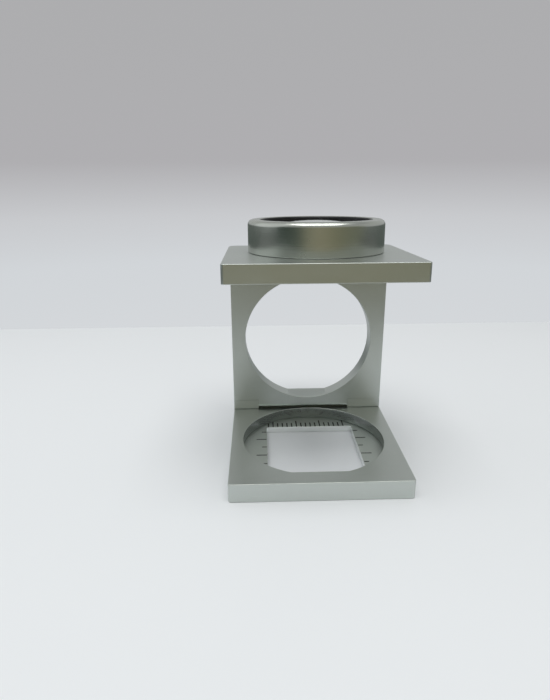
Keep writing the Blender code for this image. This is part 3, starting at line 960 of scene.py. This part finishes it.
class LOUPE_OT_lens_cell(bpy.types.Operator):
    """Turns the lens cell with its rounded rim, lip and spigot"""

    bl_idname = "loupe.lens_cell"
    bl_label = "Lens Cell"

    def execute(self, context):
        sizes = context.scene.loupe_sizes
        rim, eye_round, foot_round = sizes.rim, 0.35, 0.12
        eye = arc((sizes.eye_radius + eye_round, CELL_HEIGHT - eye_round), eye_round, 180, 90, 8)
        outer = arc((CELL_RADIUS - rim, CELL_HEIGHT - rim), rim, 90, 0, 16)
        foot = -LENS_LEAF_THICK + RUN_GAP
        shoulder = 0.05
        profile = eye + outer
        profile += arc((CELL_RADIUS - foot_round, shoulder + foot_round), foot_round, 0, -90, 4)
        profile += [(CELL_SPIGOT_RADIUS, shoulder), (CELL_SPIGOT_RADIUS, foot + 0.15)]
        profile += [(CELL_SPIGOT_RADIUS - 0.15, foot), (CELL_BORE + 0.15, foot)]
        profile += [(CELL_BORE, foot + 0.15)]
        profile += [(CELL_BORE, CELL_LIP), (sizes.eye_radius, CELL_LIP)]
        cell = turned("cell", profile, True)
        dressed(cell, "cell_turned", "black_anodised_skin")

        def in_bore(point, normal):
            return hypot(point.x, point.y) < sizes.eye_radius + eye_round / 2

        face_material(cell, 1, in_bore)
        placed(cell, CELL_PLACE)
        finished(cell, "lens_cell_ring", "lens_leaf", "cell_metal", "lens_cell")
        return {"FINISHED"}


def dome(apex, curvature, sign, count=24):
    """Points of a spherical lens face from the middle to the rim; sign -1 falls and 1 rises."""
    points = []
    for i in range(count + 1):
        r = LENS_RADIUS * i / count
        points.append((r, apex + sign * (curvature - sqrt(curvature * curvature - r * r))))
    return points


class LOUPE_OT_optics(bpy.types.Operator):
    """Builds the two lenses, the spacer between them and the slotted retaining ring"""

    bl_idname = "loupe.optics"
    bl_label = "Optics"

    def execute(self, context):
        eye_profile = dome(CELL_HEIGHT - 0.22, 38.0, -1) + dome(1.74, 60.0, 1)[::-1]
        eye = turned("eye", eye_profile, False, 160)
        flat = -0.9
        field_profile = dome(1.19, 50.0, -1) + [(LENS_RADIUS, flat), (0, flat)]
        field = turned("field", field_profile, False, 160)
        spacer = turned("spacer", [(9.7, 2.25), (10.4, 2.25), (10.4, 0.35), (9.7, 0.35)], True, 160)
        low, high = -2.6, -1.15
        ring_profile = [(9.4, high), (10.4, high), (10.4, low + 0.12), (10.28, low)]
        ring_profile += [(9.52, low), (9.4, low + 0.12)]
        ring = turned("ring", ring_profile, True, 192)
        slot_outline = rounded_rectangle((-0.5, low - 1), (0.5, low + 0.6), [0.1] * 4, 3)
        joined(ring, prism("slots", [(y, z) for y, z in slot_outline], "X", -12, 12), "DIFFERENCE")
        ring.data.shade_smooth()
        ring.data.set_sharp_from_angle(angle=radians(35))
        pieces = (
            (eye, "eye_lens_glass", "lens_glass_clear", "lens_glass", "eye_lens"),
            (field, "field_lens_glass", "lens_glass_clear", "lens_glass", "field_lens"),
            (spacer, "spacer_tube", "black_anodised_skin", "black_anodised", "lens_spacer"),
            (ring, "slotted_ring", "black_anodised_skin", "black_anodised", "retaining_ring"),
        )
        for obj, name, material, slot, node in pieces:
            dressed(obj, material)
            placed(obj, CELL_PLACE)
            finished(obj, name, "lens_leaf", slot, node)
        return {"FINISHED"}


class LOUPE_OT_hinge_pins(bpy.types.Operator):
    """Builds the two hinge pins with domed ends"""

    bl_idname = "loupe.hinge_pins"
    bl_label = "Hinge Pins"

    def execute(self, context):
        turn_to_x = Matrix.Rotation(pi / 2, 4, "Y")
        for name, place, body in (
            ("lower_hinge_pin", LOWER_PIN, "base"),
            ("upper_hinge_pin", UPPER_PIN, "back_leaf"),
        ):
            low, high = node_box(name)
            half = (high.x - low.x) / 2
            end_round = 0.2
            centre = (PIN_RADIUS - end_round, half - end_round)
            profile = [(0, half)] + arc(centre, end_round, 90, 0, 6)
            profile += [(r, -z) for r, z in profile[::-1]]
            pin = turned("pin", profile, False, 48)
            dressed(pin, "pin_bright")
            placed(pin, Matrix.Translation(place) @ turn_to_x)
            finished(pin, name.replace("hinge_pin", "pin_steel"), body, "pin_steel", name)
        return {"FINISHED"}


# ---------------------------------------------------------------- stage


def floor_material(colour):
    made, nodes, links, shader = new_material("pale_table")
    place = nodes.new("ShaderNodeTexCoord").outputs["Object"]
    soft = noise(nodes, links, place, 12, 2)
    darker = tuple(c * 0.97 for c in colour)
    table = mixed(nodes, links, soft, (*darker, 1), (*colour, 1))
    # Metal reflects the table's near part as pale and its far part as the dim room beyond
    path = nodes.new("ShaderNodeLightPath")
    far = ranged(nodes, links, path.outputs["Ray Length"], 45 * MM, 105 * MM, 0, 1)
    far = math_node(nodes, links, "MULTIPLY", far, path.outputs["Is Glossy Ray"])
    far = math_node(nodes, links, "MULTIPLY", far, 0.88)
    links.new(mixed(nodes, links, far, table, (0.04, 0.05, 0.04, 1)), shader.inputs["Base Color"])
    shader.inputs["Roughness"].default_value = 0.45
    shader.inputs["Specular IOR Level"].default_value = 0.25
    return made


def ramp(nodes, links, value, stops):
    """A colour ramp; stops are (position, colour)."""
    node = nodes.new("ShaderNodeValToRGB")
    elements = node.color_ramp.elements
    while len(elements) > 1:
        elements.remove(elements[-1])
    elements[0].position, elements[0].color = stops[0][0], (*stops[0][1], 1)
    for position, colour in stops[1:]:
        elements.new(position).color = (*colour, 1)
    links.new(value, node.inputs["Fac"])
    return node.outputs["Color"]


def build_world():
    """Soft studio: a pale backdrop behind the table, and a room that is dimmer in front."""
    world = bpy.data.worlds.new("studio")
    bpy.context.scene.world = world
    world.use_nodes = True
    nodes, links = world.node_tree.nodes, world.node_tree.links
    background = nodes["Background"]
    direction = nodes.new("ShaderNodeTexCoord").outputs["Generated"]
    split = nodes.new("ShaderNodeSeparateXYZ")
    links.new(direction, split.inputs[0])
    up = ranged(nodes, links, split.outputs["Z"], -1, 1, 0, 1)
    back = ranged(nodes, links, split.outputs["Y"], -1, 1, 0, 1)
    across = ranged(nodes, links, split.outputs["X"], -1, 1, 0, 1)
    backdrop = ramp(nodes, links, up, (
        (0.30, (0.68, 0.70, 0.72)), (0.42, (0.64, 0.665, 0.69)), (0.46, (0.58, 0.59, 0.61)),
        (0.505, (0.43, 0.425, 0.44)), (0.60, (0.42, 0.42, 0.43)),
    ))
    room_up = ramp(nodes, links, up, (
        (0.40, (0.10, 0.12, 0.11)), (0.485, (0.12, 0.14, 0.13)), (0.53, (0.50, 0.51, 0.52)),
        (0.76, (0.52, 0.53, 0.52)), (0.86, (0.36, 0.37, 0.37)), (1.0, (0.56, 0.57, 0.57)),
    ))
    front = ramp(nodes, links, across, (
        (0.08, (0.05, 0.07, 0.06)), (0.22, (0.09, 0.11, 0.09)), (0.34, (0.27, 0.265, 0.19)),
        (0.50, (0.34, 0.315, 0.22)), (0.70, (0.26, 0.25, 0.165)), (0.92, (0.20, 0.21, 0.155)),
    ))
    frontness = ramp(nodes, links, back, ((0.30, (1, 1, 1)), (0.50, (0, 0, 0))))
    low = ramp(nodes, links, up, ((0.60, (1, 1, 1)), (0.80, (0, 0, 0))))
    factor = math_node(nodes, links, "MULTIPLY", frontness, low)
    room = mixed(nodes, links, factor, room_up, front)
    seen = nodes.new("ShaderNodeLightPath").outputs["Is Camera Ray"]
    links.new(mixed(nodes, links, seen, room, backdrop), background.inputs["Color"])
    background.inputs["Strength"].default_value = 1.0


def area_light(name, place, target, size, power, colour):
    light = bpy.data.lights.new(name, "AREA")
    light.shape = "RECTANGLE"
    light.size, light.size_y = size[0] * MM, size[1] * MM
    light.energy = power
    light.color = colour
    obj = bpy.data.objects.new(name, light)
    bpy.context.scene.collection.objects.link(obj)
    obj.location = Vector(place) * MM
    obj.rotation_euler = (Vector(target) - Vector(place)).to_track_quat("-Z", "Y").to_euler()
    return obj


class LOUPE_OT_stage(bpy.types.Operator):
    """Builds the pale table, the soft light and the camera"""

    bl_idname = "loupe.stage"
    bl_label = "Stage"

    def execute(self, context):
        scene = context.scene
        scene.view_settings.view_transform = "Standard"
        table = rounded_rectangle((-420, -118), (420, FACE_Y + 78), [2] * 4, 2)
        floor = prism("table_top", table, "Z", -6, -0.02)
        floor.data.materials.append(floor_material(tuple(scene.loupe_finish.floor)))
        build_world()
        area_light("ceiling_panel", (0, -70, 400), (0, 0, 0), (340, 230), 0.86, (1.0, 1.0, 0.98))
        area_light("left_window", (-330, 40, 230), (0, 0, 20), (420, 420), 0.18, (0.93, 0.97, 1.0))

        camera = bpy.data.cameras.new("camera")
        camera.lens = 27.77
        camera.sensor_width = 36
        camera.clip_start = 0.005
        eye = bpy.data.objects.new("camera", camera)
        scene.collection.objects.link(eye)
        turn = Matrix.Rotation(radians(-1.8), 4, "Z") @ Matrix.Rotation(radians(-18.7), 4, "X")
        turn = turn @ Matrix.Rotation(radians(0.29), 4, "Y") @ Matrix.Rotation(pi / 2, 4, "X")
        eye.matrix_world = Matrix.Translation(Vector((-10.4, FACE_Y - 108.63, 53.88)) * MM) @ turn
        scene.camera = eye
        return {"FINISHED"}


# ---------------------------------------------------------------- panel and start

PIECE_OPERATORS = (
    LOUPE_OT_base_plate,
    LOUPE_OT_scale_plate,
    LOUPE_OT_rules,
    LOUPE_OT_back_plate,
    LOUPE_OT_lens_plate,
    LOUPE_OT_lens_cell,
    LOUPE_OT_optics,
    LOUPE_OT_hinge_pins,
)


class LOUPE_PT_panel(bpy.types.Panel):
    """Lists the loupe's pieces and their values"""

    bl_idname = "LOUPE_PT_panel"
    bl_label = "Viewing Loupe"
    bl_space_type = "VIEW_3D"
    bl_region_type = "UI"
    bl_category = "Loupe"

    def draw(self, context):
        layout = self.layout
        for group in (context.scene.loupe_sizes, context.scene.loupe_finish):
            for name in group.__annotations__:
                layout.prop(group, name)
        for operator in (*PIECE_OPERATORS, LOUPE_OT_stage):
            layout.operator(operator.bl_idname)


CLASSES = (LoupeSizes, LoupeFinish, *PIECE_OPERATORS, LOUPE_OT_stage, LOUPE_PT_panel)


def register():
    for cls in CLASSES:
        bpy.utils.register_class(cls)
    bpy.types.Scene.loupe_sizes = PointerProperty(type=LoupeSizes)
    bpy.types.Scene.loupe_finish = PointerProperty(type=LoupeFinish)


def unregister():
    del bpy.types.Scene.loupe_finish
    del bpy.types.Scene.loupe_sizes
    for cls in reversed(CLASSES):
        bpy.utils.unregister_class(cls)


def main():
    register()
    build_materials(bpy.context.scene.loupe_finish)
    bpy.ops.loupe.base_plate()
    bpy.ops.loupe.scale_plate()
    bpy.ops.loupe.rules()
    bpy.ops.loupe.back_plate()
    bpy.ops.loupe.lens_plate()
    bpy.ops.loupe.lens_cell()
    bpy.ops.loupe.optics()
    bpy.ops.loupe.hinge_pins()
    bpy.ops.loupe.stage()


if __name__ == "__main__":
    main()
